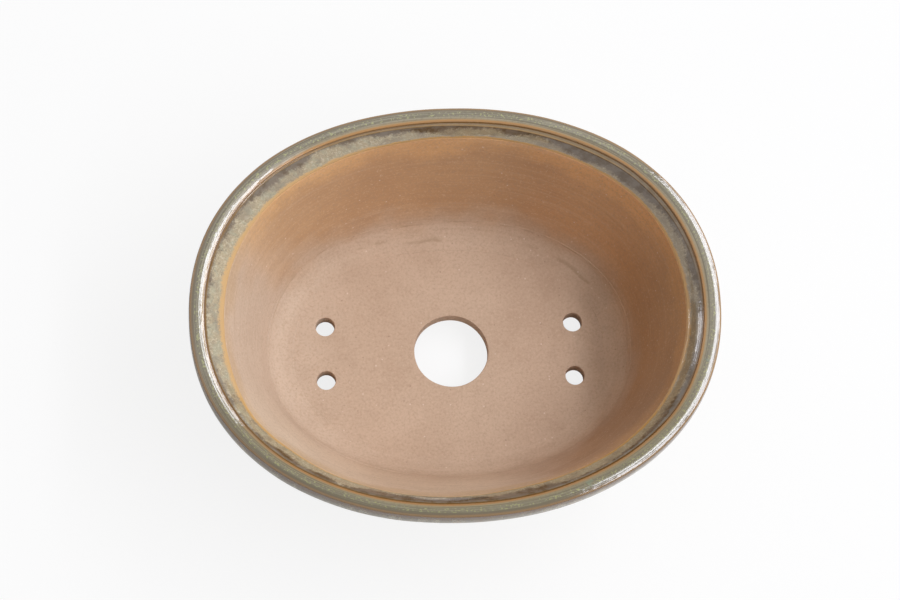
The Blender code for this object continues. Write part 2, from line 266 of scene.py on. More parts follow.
def stoneware(name, base, wiping=1.0, painted_light_and_seams=False):
    """Unglazed tan stoneware with sandy grain, pale and dark grog, soft blotches and lines of wiping."""
    material, tree, shader = finish_material(name, roughness=0.86, specular=0.25)
    place = put(tree, "TexCoord")["Object"]
    axes = put(tree, "SeparateXYZ", None, Vector=place)
    along, across, level = axes["X"], axes["Y"], axes["Z"]

    blotches = grain(tree, place, 38, 3, 0.5, 0.4)
    cloudy = grain(tree, stretched(tree, place, (1, 1, 2.2)), 95, 4, 0.6)
    colour = layered(tree, base, [
        (between(tree, blotches, 0.40, 0.68, 0.0, 0.42), CLAY_PALE),
        (between(tree, cloudy, 0.48, 0.75, 0.0, 0.28), CLAY_DARK),
    ])

    # Painted light and shade by place on the inside clay, and the dark coil seams.
    if painted_light_and_seams:
        wander = between(tree, grain(tree, place, 55, 2), 0.3, 0.7, -0.003, 0.003)
        reach = sums(tree, "ADD", level, wander)
        raised = between(tree, reach, PAINTED_LIGHT_STARTS, PAINTED_LIGHT_FULL)
        near_glaze = between(tree, reach, CROWN_LEVEL - 0.017, CROWN_LEVEL - 0.008)
        at_back = between(tree, sums(tree, "ADD", across, wander), 0.011, 0.040)
        at_right = between(tree, sums(tree, "ADD", along, wander), 0.018, 0.050)
        side = sums(tree, "MAXIMUM", at_back, at_right)
        in_front = times(tree, between(tree, across, -0.010, -0.040), between(tree, along, 0.035, 0.0))
        raised_right = times(tree, raised, at_right)
        tints = [
            # Painted shade: the raised back and right walls darker and warmer.
            (times(tree, raised, side), PAINTED_SHADE_BACK_RIGHT),
            # Painted light under the glaze line at the back and right; a plain darker, warmer tint there at
            # the front and left.
            (near_glaze, over(tree, side, NEAR_GLAZE_FRONT, PAINTED_LIGHT_NEAR_GLAZE_BACK)),
            # Painted light: the lit left end paler and cooler.
            (between(tree, along, -0.02, -0.07), PAINTED_LIGHT_LEFT),
            # Painted shadow on the floor by the right wall.
            (window(tree, along, 0.010, 0.030, 0.036, 0.050), PAINTED_SHADOW_RIGHT_FLOOR),
            # Painted light on the front walls.
            (times(tree, raised, in_front), PAINTED_LIGHT_FRONT),
            # Painted light on the back of the right wall, painted shade on its front.
            (times(tree, raised_right, between(tree, across, 0.005, 0.035)), PAINTED_LIGHT_BACK_RIGHT),
            (times(tree, raised_right, between(tree, across, -0.005, -0.035)), PAINTED_SHADE_FRONT_RIGHT),
        ]
        wiped_off = grain(tree, stretched(tree, place, (1, 1, 3)), 75, 3, 0.6)
        joint = sums(tree, "ADD", level, between(tree, grain(tree, place, 45, 2), 0.3, 0.7, -0.0009, 0.0009))
        for low, gate in ((0.0055, 0.45), (0.0012, 0.51)):
            start = FLOOR_LEVEL + low
            seam = window(tree, joint, start, start + 0.0003, start + 0.0003, start + 0.0011)
            seen_at_back = times(tree, between(tree, wiped_off, gate, gate + 0.09, 0.0, 0.75),
                                 between(tree, across, 0.0, 0.02))
            tints.append((times(tree, seam, seen_at_back), SEAM_SHADE))
        colour = layered(tree, colour, tints, "MULTIPLY")

    sand = grain(tree, place, 1100, 5, 0.75)
    lines = grain(tree, stretched(tree, place, (14, 14, 900)), 1.0, 3, 0.6)
    cells = put(tree, "TexVoronoi", None, Vector=place, Scale=420)
    chosen = put(tree, "SeparateColor", None, Color=cells["Color"])["Red"]
    near = between(tree, cells["Distance"], 0.16, 0.07)
    pale_grog = times(tree, near, between(tree, chosen, 0.86, 0.88, 0.0, 0.55))
    dark_grog = times(tree, near, between(tree, chosen, 0.13, 0.11, 0.0, 0.40))
    colour = layered(tree, colour, [
        (between(tree, sand, 0.36, 0.52, 0.48, 0.0), CLAY_DARK),
        (between(tree, sand, 0.52, 0.70, 0.0, 0.60), CLAY_PALE),
        (between(tree, lines, 0.45, 0.70, 0.0, 0.16 * wiping), CLAY_DARK),
        (between(tree, lines, 0.50, 0.30, 0.0, 0.16 * wiping), CLAY_PALE),
        (pale_grog, PALE_GROG),
        (dark_grog, DARK_GROG),
    ])

    tree.links.new(colour, shader.inputs["Base Color"])
    tree.links.new(between(tree, sand, 0.3, 0.7, 0.80, 0.95), shader.inputs["Roughness"])
    grit = put(tree, "Bump", None, Strength=0.22, Distance=0.0003, Height=sand)["Normal"]
    grog = put(tree, "Bump", None, Strength=0.25, Distance=0.0002, Height=pale_grog, Normal=grit)["Normal"]
    wiped = put(tree, "Bump", None, Strength=0.25 * wiping, Distance=0.0003, Height=lines, Normal=grog)
    tree.links.new(wiped["Normal"], shader.inputs["Normal"])
    return material


inside_clay = stoneware("bare_stoneware", CLAY, painted_light_and_seams=True)
floor_slab.data.materials.append(inside_clay)
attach(floor_slab, "root")
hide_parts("floor_slab")

# The wall
# A band of the same stoneware, pressed into a flaring oval and stood on the slab. Only its inner face shows,
# bare and wiped round with a rib, and painted darker and warmer at the back and the right, as painted shade.
FLOOR_INSET = 0.0280
GLAZE_LINE_AT_ENDS = 0.0127
GLAZE_LINE_AT_SIDES = 0.0090
GLAZE_LINE_LEVEL = CROWN_LEVEL - 0.0065
WALL_THICKNESS = 0.0065
WALL_BELLY = 0.0010
LIP_UNDERSIDE = CROWN_LEVEL - 0.0105
BEHIND_GLAZE = 0.0006
MOUTH_AT_ENDS = 0.0056
MOUTH_AT_SIDES = 0.0029
MOUTH_RISE = 0.0042
MOUTH_SUNK = 0.00022
FOOT_LINE_LEVEL = SLAB_UNDERSIDE + 0.0030
LINE_SWAY_FADE = 0.024
LIP_SWAY_FADE = 0.6
WALL_SUNK = 0.0004
CLAY_UP_THE_MOUTH = 0.62
MOUTH_ROWS = 14
INNER_ROWS = 96
OUTER_ROWS = 12
ROUND = 540
all_turns = np.linspace(0, math.tau, ROUND, endpoint=False)
LINE_SWAY_MM = [
    -0.75, -0.44, 0.05, 0.80, 1.15, 1.10, 0.38, 0.12, 0.17, -0.51, -0.97, -1.14,
    -1.33, -0.70, 0.04, 0.61, 1.22, 1.21, 0.04, -0.17, -0.26, -0.39, -1.30, -0.65,
]
LIP_SWAY_MM = [
    0.0, 0.0, 0.0, 0.0, 0.15, 0.3, 0.15, 0.1, 0.1, 0.0, 0.0, 0.0,
    0.0, 0.3, 0.5, 0.8, 0.9, 0.6, 0.25, 0.2, 0.3, 0.25, 0.15, 0.05,
]
RIDGE_SWAY_MM = [
    -0.3, -0.1, -0.1, 0.0, 0.2, 0.25, 0.4, 0.3, 0.35, 0.0, 0.1, 0.15,
    0.3, 0.3, 0.25, 0.5, 0.5, 0.3, 0.1, 0.0, 0.0, -0.2, -0.1, -0.2,
]


def inner_insets(level):
    """How far the bare inner face lies in from the lip's edge at a level: (at the ends, at the sides)."""
    share = (level - FLOOR_LEVEL) / (GLAZE_LINE_LEVEL - FLOOR_LEVEL)
    at_ends = FLOOR_INSET + (GLAZE_LINE_AT_ENDS - FLOOR_INSET) * share
    return at_ends, FLOOR_INSET + (GLAZE_LINE_AT_SIDES - FLOOR_INSET) * share


def mouth_insets(share, sunk=0.0):
    """The mouth's slope above the glaze line, from 0 at the line to 1 at the foot of the ridge."""
    at_ends = GLAZE_LINE_AT_ENDS - MOUTH_AT_ENDS * share - sunk
    return at_ends, GLAZE_LINE_AT_SIDES - MOUTH_AT_SIDES * share - sunk


def outer_insets(level, sunk=0.0):
    share = (level - SLAB_UNDERSIDE) / (LIP_UNDERSIDE - SLAB_UNDERSIDE)
    belly = WALL_BELLY * math.sin(math.pi * min(max(share, 0.0), 1.0))
    at_ends, at_sides = inner_insets(level)
    return at_ends - WALL_THICKNESS - belly + sunk, at_sides - WALL_THICKNESS - belly + sunk


def ring_at(insets, level):
    return oval(LIP_HALF_LENGTH - insets[0], LIP_HALF_BREADTH - insets[1], level, all_turns)


def outward_of(rings):
    """The level direction that points out of the oval at each point of each ring."""
    along = np.roll(rings, -1, axis=1) - np.roll(rings, 1, axis=1)
    outward = np.stack([along[..., 1], -along[..., 0], np.zeros(along.shape[:2])], axis=-1)
    return outward / np.linalg.norm(outward, axis=-1, keepdims=True)


def eased(values):
    """Runs from 0 to 1 with a soft start and a soft end."""
    values = np.clip(values, 0, 1)
    return values * values * (3 - 2 * values)


def smooth_round(values, turns):
    """Runs a smooth curve through values given at even steps of turn, clockwise from the left end."""
    steps = (math.pi - turns) / math.tau * len(values)
    whole = np.floor(steps).astype(int)
    share = steps - whole
    near = [np.take(values, whole + i, mode="wrap") for i in (-1, 0, 1, 2)]
    rise = (near[2] - near[0]) / 2
    fall = (near[3] - near[1]) / 2
    flat = near[1] * (1 + 2 * share) * (1 - share) ** 2 + near[2] * share ** 2 * (3 - 2 * share)
    return flat + rise * share * (1 - share) ** 2 - fall * share ** 2 * (1 - share)


def swayed(rings, turns, at_line, at_lip, at_ridge=0.0):
    """Draws each ring in or out as the hand-made pot does, by how much of each sway it takes."""
    inwards = at_line * smooth_round(LINE_SWAY_MM, turns) + at_lip * smooth_round(LIP_SWAY_MM, turns)
    inwards = inwards + at_ridge * smooth_round(RIDGE_SWAY_MM, turns)
    return rings - outward_of(rings) * inwards[..., None] / 1000


def hoop(name, rings):
    """A closed body round the pot, from the rings of points round its section."""
    rows, count = rings.shape[:2]
    index = np.arange(rows * count).reshape(rows, count)
    below = np.roll(index, -1, axis=0)
    quads = np.stack([index, np.roll(index, -1, axis=1), np.roll(below, -1, axis=1), below], axis=-1)
    return make_piece(name, rings.reshape(-1, 3), quads.reshape(-1, 4).tolist())


def clay_lift(rings):
    """How far a hand leaves the inner face proud: broad swells and finer ripples."""
    return hand_wobble(rings, 0.026, 0.00022) + hand_wobble(rings * (1, 1, 6), 0.020, 0.00007)


def clay_skin(rings):
    return rings - outward_of(rings) * clay_lift(rings)[..., None]


mouth_shares = np.linspace(CLAY_UP_THE_MOUTH, 0.0, MOUTH_ROWS, endpoint=False)
mouth_rows = []
for share in mouth_shares:
    level = GLAZE_LINE_LEVEL + MOUTH_RISE * share - MOUTH_SUNK
    mouth_rows.append(ring_at(mouth_insets(share, MOUTH_SUNK), level))
inner_levels = np.linspace(GLAZE_LINE_LEVEL, FLOOR_LEVEL - WALL_SUNK, INNER_ROWS)
bare_rows = [ring_at(inner_insets(level), level) for level in inner_levels]
inner_rows = clay_skin(np.stack(mouth_rows + bare_rows))
bare_share = 1 - eased((GLAZE_LINE_LEVEL - inner_levels) / LINE_SWAY_FADE)
line_share = np.concatenate([1 - eased(mouth_shares), bare_share])
lip_share = np.concatenate([eased(mouth_shares), 0 * inner_levels])
inner_rows = swayed(inner_rows, all_turns, line_share[:, None], lip_share[:, None])
outer_levels = np.linspace(FLOOR_LEVEL - WALL_SUNK, GLAZE_LINE_LEVEL - 0.0003, OUTER_ROWS)
outer_rows = np.stack([ring_at(outer_insets(level, BEHIND_GLAZE), level) for level in outer_levels])
lip_share = 1 - eased((LIP_UNDERSIDE - outer_levels) / (LIP_UNDERSIDE - FOOT_LINE_LEVEL) / LIP_SWAY_FADE)
outer_rows = swayed(outer_rows, all_turns, 0.0, lip_share[:, None])
wall = hoop("clay_wall", np.concatenate([inner_rows, outer_rows]))
wall.data.materials.append(inside_clay)
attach(wall, "root")
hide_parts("wall")

# The corner coil
# A thin coil of soft clay pressed into the corner between the slab and the wall and drawn hollow with a
# fingertip. Its two edges are wiped out onto the wall and the floor, and still show here and there.
CORNER_RADIUS = 0.0070
COIL_SUNK = 0.00012
COIL_LIP = 0.00022
COIL_ROWS = 40
COIL_EDGE_ROWS = 8
COIL_BURIED = CORNER_RADIUS * 0.075

bends = np.linspace(0, math.pi / 2, COIL_ROWS)
coil_rows = []
for bend in bends:
    from_wall = CORNER_RADIUS * (1 - math.sin(bend))
    level = FLOOR_LEVEL + CORNER_RADIUS * (1 - math.cos(bend))
    at_ends, at_sides = inner_insets(level)
    coil_rows.append(ring_at((at_ends + from_wall, at_sides + from_wall), level))
coil_rows = clay_skin(np.stack(coil_rows))
edge_noise = hand_wobble(np.stack([coil_rows[0], coil_rows[-1]]), 0.030, 1.0)
edge_rows = np.arange(COIL_EDGE_ROWS)
for edge, rows in ((0, edge_rows), (1, COIL_ROWS - 1 - edge_rows)):
    proud = np.clip(edge_noise[edge] * 2.2, -0.6, 1.0) * COIL_LIP
    for step, row in enumerate(rows):
        fade = 1 - step / len(rows)
        lift = proud * fade * (step > 0) - COIL_SUNK * (step == 0)
        across = -outward_of(coil_rows[row][None])[0] * math.sin(bends[row])
        coil_rows[row] += (across + np.array([0, 0, math.cos(bends[row])])) * lift[:, None]
behind = ring_at(inner_insets(FLOOR_LEVEL + CORNER_RADIUS), FLOOR_LEVEL + CORNER_RADIUS)
behind = behind + outward_of(behind[None])[0] * COIL_SUNK * 4
corner_insets = [inset - COIL_BURIED for inset in inner_insets(FLOOR_LEVEL)]
corner = ring_at(corner_insets, FLOOR_LEVEL - COIL_BURIED)
below = coil_rows[0] - np.array([0, 0, COIL_SUNK * 4])
corner_coil = hoop("clay_corner_coil", np.concatenate([coil_rows, [behind], [corner], [below]]))
corner_coil.data.materials.append(inside_clay)
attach(corner_coil, "root")
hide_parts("corner_coil")

# The lip's clay
# A thick band of stoneware hooked over the top of the wall to make the lip. The glaze hides it all round. It
# leans in a little at the front right, as the hand that pressed it on left it.
RIDGE_AT_ENDS = 0.0056
RIDGE_AT_SIDES = 0.0046
LIP_CLAY_ABOVE = 0.0012
COARSE_CLAY = (0.50, 0.33, 0.22)
LIP_CLAY_INSIDE = [(2.2, 3.8), (1.3, 3.0), (0.6, 2.2), (-0.2, 1.7), (-1.4, 0.95), (-2.4, 0.8)]
LIP_CLAY_OUTSIDE = [(1.9, 1.3), (1.3, 2.3), (0.9, 4.6), (0.8, 6.8), (0.95, 8.6), (1.5, 9.5), (3.4, 9.8)]

lip_clay_rows = []
for inset, depth in LIP_CLAY_INSIDE:
    insets = (RIDGE_AT_ENDS + inset / 1000, RIDGE_AT_SIDES + inset / 1000)
    lip_clay_rows.append(ring_at(insets, CROWN_LEVEL - depth / 1000))
for inset, depth in LIP_CLAY_OUTSIDE:
    lip_clay_rows.append(ring_at((inset / 1000, inset / 1000), CROWN_LEVEL - depth / 1000))
hooked_level = LIP_UNDERSIDE + LIP_CLAY_ABOVE
lip_clay_rows.append(ring_at(outer_insets(LIP_UNDERSIDE, LIP_CLAY_ABOVE), hooked_level))
lip_clay_rings = swayed(np.stack(lip_clay_rows), all_turns, at_line=0.0, at_lip=1.0, at_ridge=0.3)
rim_band = hoop("clay_lip", lip_clay_rings)
rim_band.data.materials.append(stoneware("lip_stoneware", COARSE_CLAY))
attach(rim_band, "root")
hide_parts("rim_band")

# The glaze
# An olive glaze poured over the lip and the outside, and wiped back inside the mouth to a wavy line. It
# breaks to rust where it runs thin over the ridges, and pools dark grey-brown and cream below them.
EDGE_INSET = 0.0008
STEP_WIDTH = 0.00145
STEP_BAND = 0.80
UNROLLED_RADIUS = 0.080
GLAZE_BODY = 0.00045
LINE_ROOM = 0.0016
CORNER_SOFTNESS = 0.00014
SECTION_SPACING = 0.00004
RISING_POINTS = 300
ROUND_GLAZE = 720
UP_THE_STEP = [(1.30, 2.10), (1.00, 1.87), (0.70, 1.62), (0.40, 1.33), (0.22, 1.08), (0.08, 0.86)]
OVER_THE_LIP = [
    (0.00, 0.775), (0.03, 0.763), (0.10, 0.640), (0.20, 0.463), (0.30, 0.287), (0.38, 0.145),
    (0.45, 0.045), (0.52, 0.0), (0.58, 0.003), (0.62, 0.013), (0.66, 0.036), (0.70, 0.072),
    (0.76, 0.127), (0.82, 0.183), (0.88, 0.238), (0.94, 0.294), (1.00, 0.350),
]
DOWN_THE_LIP = [
    (0.62, 0.42), (0.48, 0.57), (0.36, 0.84), (0.27, 1.35), (0.16, 2.40), (0.06, 3.60),
    (0.00, 4.90), (0.02, 6.80), (0.12, 8.60), (0.26, 9.40), (0.62, 10.1), (1.30, 10.5),
]
EDGE_DROOP_MM = [
    0.0, 0.0, 0.0, 0.0, 0.0, 0.0, 0.0, 0.03, 0.10, 0.12, 0.06, 0.0,
    0.0, 0.03, 0.13, 0.28, 0.45, 0.48, 0.25, 0.08, 0.0, 0.0, 0.0, 0.0,
]
RIDGE_DROP_MM = [
    -0.06, -0.03, 0.055, 0.12, 0.14, 0.06, 0.0, 0.0, 0.0, 0.0, 0.0, 0.0,
    0.0, 0.0, 0.0, 0.0, 0.0, 0.0, 0.0, 0.0, 0.0, 0.0, 0.01, -0.035,
]

stations = []
for level in np.linspace(GLAZE_LINE_LEVEL - LINE_ROOM, GLAZE_LINE_LEVEL, 5)[:-1]:
    stations.append((*inner_insets(level), level, 0.0))
for share in np.linspace(0.0, 1.0, 9):
    stations.append((*mouth_insets(share), GLAZE_LINE_LEVEL + MOUTH_RISE * share, STEP_BAND * share))
for inside, depth in UP_THE_STEP:
    inside = inside / 1000
    label = 1 - (1 - STEP_BAND) * inside / STEP_WIDTH
    stations.append((RIDGE_AT_ENDS + inside, RIDGE_AT_SIDES + inside, CROWN_LEVEL - depth / 1000, label))
for share, depth in OVER_THE_LIP:
    at_ends = RIDGE_AT_ENDS + (EDGE_INSET - RIDGE_AT_ENDS) * share
    at_sides = RIDGE_AT_SIDES + (EDGE_INSET - RIDGE_AT_SIDES) * share
    stations.append((at_ends, at_sides, CROWN_LEVEL - depth / 1000, 1 + share))
edge_depth, last_depth = OVER_THE_LIP[-1][1], DOWN_THE_LIP[-1][1]
for inset, depth in DOWN_THE_LIP:
    label = 2 + (depth - edge_depth) / (last_depth - edge_depth)
    stations.append((inset / 1000, inset / 1000, CROWN_LEVEL - depth / 1000, label))
under_ends, under_sides = outer_insets(LIP_UNDERSIDE)
for share in (0.5, 0.9):
    inset = DOWN_THE_LIP[-1][0] / 1000 * (1 - share)
    stations.append((inset + under_ends * share, inset + under_sides * share, LIP_UNDERSIDE, 3.0))
for level in np.linspace(LIP_UNDERSIDE - 0.0006, FOOT_LINE_LEVEL, 40):
    share = (LIP_UNDERSIDE - level) / (LIP_UNDERSIDE - FOOT_LINE_LEVEL)
    stations.append((*outer_insets(level), level, 3 + share))
stations = np.array(stations)


def run_along(section):
    """How far each point lies along the section, from its first one."""
    steps = np.hypot(np.diff(section[:, 0]), np.diff(section[:, 2]))
    return np.concatenate([[0.0], np.cumsum(steps)])


def softened(section, reach, spacing):
    """The section with its corners rounded off by a moving average that weighs near points most."""
    run = run_along(section)
    even = np.arange(0, run[-1], spacing)
    columns = [np.interp(even, run, section[:, i]) for i in range(section.shape[1])]
    weights = np.exp(-0.5 * (np.arange(-3 * reach, 3 * reach + spacing / 2, spacing) / reach) ** 2)
    weights /= weights.sum()
    half = len(weights) // 2
    smooth = []
    for column in columns:
        start = 2 * column[0] - column[half:0:-1]
        end = 2 * column[-1] - column[-2:-half - 2:-1]
        smooth.append(np.convolve(np.concatenate([start, column, end]), weights, mode="valid"))
    return np.column_stack(smooth)


section = softened(stations, CORNER_SOFTNESS, SECTION_SPACING)
run = run_along(section)
run -= np.interp(GLAZE_LINE_LEVEL, section[:RISING_POINTS, 2], run[:RISING_POINTS])
under_run = float(run[np.argmax(section[:, 3] >= 3.0)])
ridge_run, lip_edge_run = np.interp([1.0, 2.0], section[:, 3], run)
wall_run = float(run[np.argmax(section[:, 3] > 3.02)])
last_run = float(run[-1])
start, nominal = 0.0, []
for end, spacing in (
    (0.0009, 0.00007), (ridge_run - 0.0018, 0.00016), (ridge_run + 0.0006, 0.00008),
    (lip_edge_run + 0.0012, 0.00013), (under_run, 0.00035), (wall_run, 0.00030),
    (last_run - 0.0016, 0.00080), (last_run, 0.00014),
):
    nominal.append(np.linspace(start, end, max(2, round((end - start) / spacing)), endpoint=False))
    start = end
nominal = np.concatenate(nominal + [[last_run]])
glaze_turns = np.linspace(0, math.tau, ROUND_GLAZE, endpoint=False)
lip_ring = oval(LIP_HALF_LENGTH, LIP_HALF_BREADTH, 0.0, glaze_turns)
gone_round = np.concatenate([[0.0], np.cumsum(np.linalg.norm(np.diff(lip_ring, axis=0), axis=1))])
closing_step = np.linalg.norm(lip_ring[0] - lip_ring[-1])
unrolled_turns = math.tau * gone_round / (gone_round[-1] + closing_step)
circle = np.column_stack([np.cos(unrolled_turns), np.sin(unrolled_turns), np.zeros(ROUND_GLAZE)])


def round_noise(size, seed):
    """A value from -1 to 1 for each angle round the pot, with swells of one size."""
    return hand_wobble(circle * UNROLLED_RADIUS + np.array([0, 0, seed]), size, 1.6).clip(-1, 1)


line_drop = 0.00014 * round_noise(0.022, 0.31) + 0.00012 * round_noise(0.0065, 0.72)
foot_rise = 0.00060 + 0.00050 * round_noise(0.018, 0.53) + 0.00020 * round_noise(0.005, 0.94)
foot_rise = foot_rise.clip(0.0, 0.0014)
near_line = 1 - eased(nominal / 0.0026)
near_foot = 1 - eased((last_run - nominal) / 0.0060)
across = nominal[:, None] - line_drop * near_line[:, None] - foot_rise * near_foot[:, None]
at_ends, at_sides, levels, bands = (np.interp(across, run, section[:, i]) for i in range(4))
drooping = np.clip((bands - 1.5) / 0.5, 0, 1) * (1 - eased((bands - 2.0) / 0.4))
levels = levels - drooping * smooth_round(EDGE_DROOP_MM, glaze_turns).clip(0) / 1000
near_ridge = np.interp(bands, [0.8, 1.0, 1.45], [0, 1, 0])
levels = levels - near_ridge * smooth_round(RIDGE_DROP_MM, glaze_turns) / 1000
face = oval(LIP_HALF_LENGTH - at_ends, LIP_HALF_BREADTH - at_sides, levels, glaze_turns)
below_line = eased((GLAZE_LINE_LEVEL - levels) / LINE_SWAY_FADE) * (bands < 1)
line_share = (1 - eased(bands / STEP_BAND)) * (1 - below_line)
lip_share = eased(bands / STEP_BAND) * (1 - eased((bands - 3) / LIP_SWAY_FADE))
ridge_share = eased((bands - 0.1) / 0.8) * (1 - eased((bands - 1.0) / 0.6))
face = swayed(face, glaze_turns, line_share, lip_share, ridge_share)
face -= outward_of(face) * (clay_lift(face) * (1 - eased(bands / STEP_BAND)))[..., None]
slopes = np.gradient(face, axis=0)
around = np.roll(face, -1, axis=1) - np.roll(face, 1, axis=1)
upright = np.cross(slopes, around)
upright /= np.linalg.norm(upright, axis=-1, keepdims=True)

browned = smooth_round([
    0.0, 0.0, 0.0, 0.0, 0.15, 0.2, 0.4, 0.5, 0.9, 0.85, 0.7, 0.65,
    0.8, 1.0, 0.85, 0.4, 0.3, 0.5, 0.8, 0.55, 0.3, 0.25, 0.1, 0.0,
], glaze_turns).clip(0, 1)
second_ridge = smooth_round([
    0.0, 0.1, 0.4, 0.6, 0.7, 0.75, 0.8, 0.95, 1.0, 1.0, 0.9, 0.45,
    0.1, 0.2, 0.1, 0.0, 0.0, 0.0, 0.0, 0.0, 0.0, 0.0, 0.0, 0.0,
], glaze_turns).clip(0, 1)
second_mm = smooth_round([
    0.6, 0.6, 0.75, 0.95, 1.2, 1.4, 1.6, 1.85, 2.0, 2.05, 2.0, 1.7,
    1.3, 1.1, 1.0, 1.0, 1.0, 1.0, 1.0, 1.0, 0.8, 0.7, 0.6, 0.6,
], glaze_turns)
pool_mm = smooth_round([
    0.9, 1.2, 2.3, 2.6, 2.9, 3.3, 3.8, 3.6, 4.5, 4.2, 4.2, 3.9,
    3.9, 4.6, 3.6, 2.4, 2.4, 3.4, 4.4, 3.9, 2.7, 2.4, 1.0, 1.2,
], glaze_turns)
pool_wander = (0.5 + 0.55 * pool_mm) * round_noise(0.012, 0.83)
pool_mm = 0.3 + pool_mm * 1.08 + pool_wander + 0.45 * round_noise(0.0048, 0.27)
ochre_mm = smooth_round([
    2.3, 2.2, 1.9, 1.6, 1.3, 1.2, 1.0, 1.0, 0.9, 0.9, 1.0, 1.3,
    1.6, 1.6, 1.4, 1.2, 1.1, 0.9, 0.6, 0.6, 0.9, 1.3, 1.9, 2.3,
], glaze_turns)
ochre_mm = ochre_mm * (1 + 0.22 * round_noise(0.006, 0.44)) + 0.15

from_line = across - across[0]
from_foot = across[-1] - across
rolled_edge = np.interp(
    from_line,
    [0, 0.00012, 0.0003, 0.0006, 0.0011, 0.0022, 0.004],
    [-0.00012, 0.00005, 0.00011, 0.00014, 0.00013, 0.00007, 0],
)
rolled_edge = np.minimum(rolled_edge, rolled_edge * (1 - 0.8 * browned))
rolled_foot = np.interp(
    from_foot,
    [0, 0.0002, 0.0006, 0.0012, 0.003, 0.006, 0.01],
    [-0.00012, 0.0001, 0.00032, 0.00036, 0.0002, 0.0001, 0],
)
unrolled = circle * UNROLLED_RADIUS + across[..., None] * np.array([0, 0, 1])
inside_ridge = ridge_run - across
on_lip = eased((bands - 1.06) / 0.08) * (1 - eased((bands - 1.88) / 0.1))
outside = eased((bands - 3.02) / 0.1)
striations = hand_wobble(unrolled * (20, 20, 2600), 1.0, 0.000014)
striations += hand_wobble(unrolled * (34, 34, 1200), 1.0, 0.000018)
throwing = hand_wobble(unrolled * (7, 7, 290), 1.0, 0.00016)
throwing += hand_wobble(unrolled * (90, 90, 90), 1.0, 0.00014)
lift = rolled_edge + rolled_foot + hand_wobble(unrolled, 0.012, 0.00007) * (1 - 0.75 * on_lip)
lift += second_ridge * 0.00020 * np.exp(-((inside_ridge - second_mm / 1000) / 0.00028) ** 2)
lift -= second_ridge * 0.00010 * np.exp(-((inside_ridge - second_mm / 2000) / 0.00026) ** 2)
lift += on_lip * striations + outside * throwing
front = face + upright * lift[..., None]
back = (face - upright * GLAZE_BODY)[::-6]
glaze_coat = hoop("glaze_skin", np.concatenate([front, back]))


def mark(piece, name, values):
    """Stores values on the first points of a mesh, for its material. The other points get the last value."""
    kind, held, width = ("FLOAT_VECTOR", "vector", 3) if values.ndim == 3 else ("FLOAT", "value", 1)
    values = values.reshape(-1, width)
    spare = len(piece.data.vertices) - len(values)
    values = np.concatenate([values, np.repeat(values[-1:], spare, axis=0)])
    piece.data.attributes.new(name, kind, "POINT").data.foreach_set(held, values.astype(np.float32).ravel())


marks = {
    "unrolled": unrolled,
    "band": bands,
    "step": np.broadcast_to(second_ridge, bands.shape),
    "browned": np.broadcast_to(browned, bands.shape),
    "inside_ridge_mm": 1000 * inside_ridge,
    "from_edge_mm": 1000 * np.minimum(from_line, from_foot),
    "ochre_share": 1000 * np.minimum(from_line, from_foot + 0.0004) / ochre_mm,
    "past_second_mm": 1000 * inside_ridge - second_mm,
    "pool_left_mm": pool_mm - 1000 * inside_ridge,
}
for name, values in marks.items():
    mark(glaze_coat, name, values)


def marked(tree, name, output="Fac"):
    return put(tree, "Attribute", {"attribute_name": name})[output]


def ramp(tree, value, longest, stops):
    """A colour for each value from 0 to longest, from stops of (value, colour)."""
    node = tree.nodes.new("ShaderNodeValToRGB")
    tree.links.new(sums(tree, "DIVIDE", value, longest), node.inputs["Fac"])
    elements = node.color_ramp.elements
    while len(elements) < len(stops):
        elements.new(0.5)
    for element, (place, colour) in zip(elements, stops):
        element.position = place / longest
        element.color = (*colour, 1)
    return node.outputs["Color"]


POOLED = (0.100, 0.058, 0.024)
POOL_GREY = (0.170, 0.130, 0.094)
CREAM = (0.385, 0.315, 0.190)
PALE_CURL = (0.54, 0.46, 0.33)
DARK_CURL = (0.235, 0.19, 0.125)
GREY_GREEN = (0.33, 0.35, 0.255)
CLOUD_BROWN = (0.215, 0.170, 0.120)
OLIVE_DARK = (0.15, 0.125, 0.07)
OLIVE_PALE = (0.38, 0.34, 0.24)
YELLOW_GREEN = (0.42, 0.42, 0.20)
TURQUOISE = (0.26, 0.40, 0.32)
RUST = (0.42, 0.205, 0.055)
RUST_THIN = (0.37, 0.215, 0.07)
# Dark rust, also used as painted shade below the crest.
DARK_RUST_AND_SHADE = (0.165, 0.075, 0.015)
RUST_BURNT = (0.18, 0.10, 0.065)
TAN_OLIVE = (0.25, 0.165, 0.07)
OCHRE = (0.56, 0.335, 0.13)
OCHRE_DEEP = (0.49, 0.265, 0.075)
BARE_EDGE = (0.52, 0.30, 0.12)
BROWNED = (0.30, 0.225, 0.135)
RUN_PALE = (0.42, 0.38, 0.26)
RUN_DARK = (0.15, 0.11, 0.06)
# Painted shade on the front of the lip and on its outer edge there.
PAINTED_SHADE_FRONT_LIP = (0.76, 0.73, 0.60)
PAINTED_SHADE_FRONT_EDGE = (0.62, 0.55, 0.45)
LIP_COLOURS = [
    (0.00, (0.39, 0.315, 0.195)), (0.85, (0.39, 0.315, 0.195)), (0.98, (0.34, 0.24, 0.12)),
    (1.06, (0.40, 0.255, 0.11)), (1.16, (0.35, 0.25, 0.13)), (1.26, (0.28, 0.23, 0.145)),
    (1.34, (0.245, 0.21, 0.145)), (1.44, (0.25, 0.22, 0.16)), (1.54, (0.27, 0.24, 0.175)),
    (1.64, (0.225, 0.195, 0.14)), (1.74, (0.205, 0.175, 0.12)), (1.84, (0.19, 0.145, 0.095)),
    (1.92, (0.20, 0.135, 0.075)), (1.97, (0.27, 0.165, 0.075)), (2.00, (0.33, 0.195, 0.08)),
]
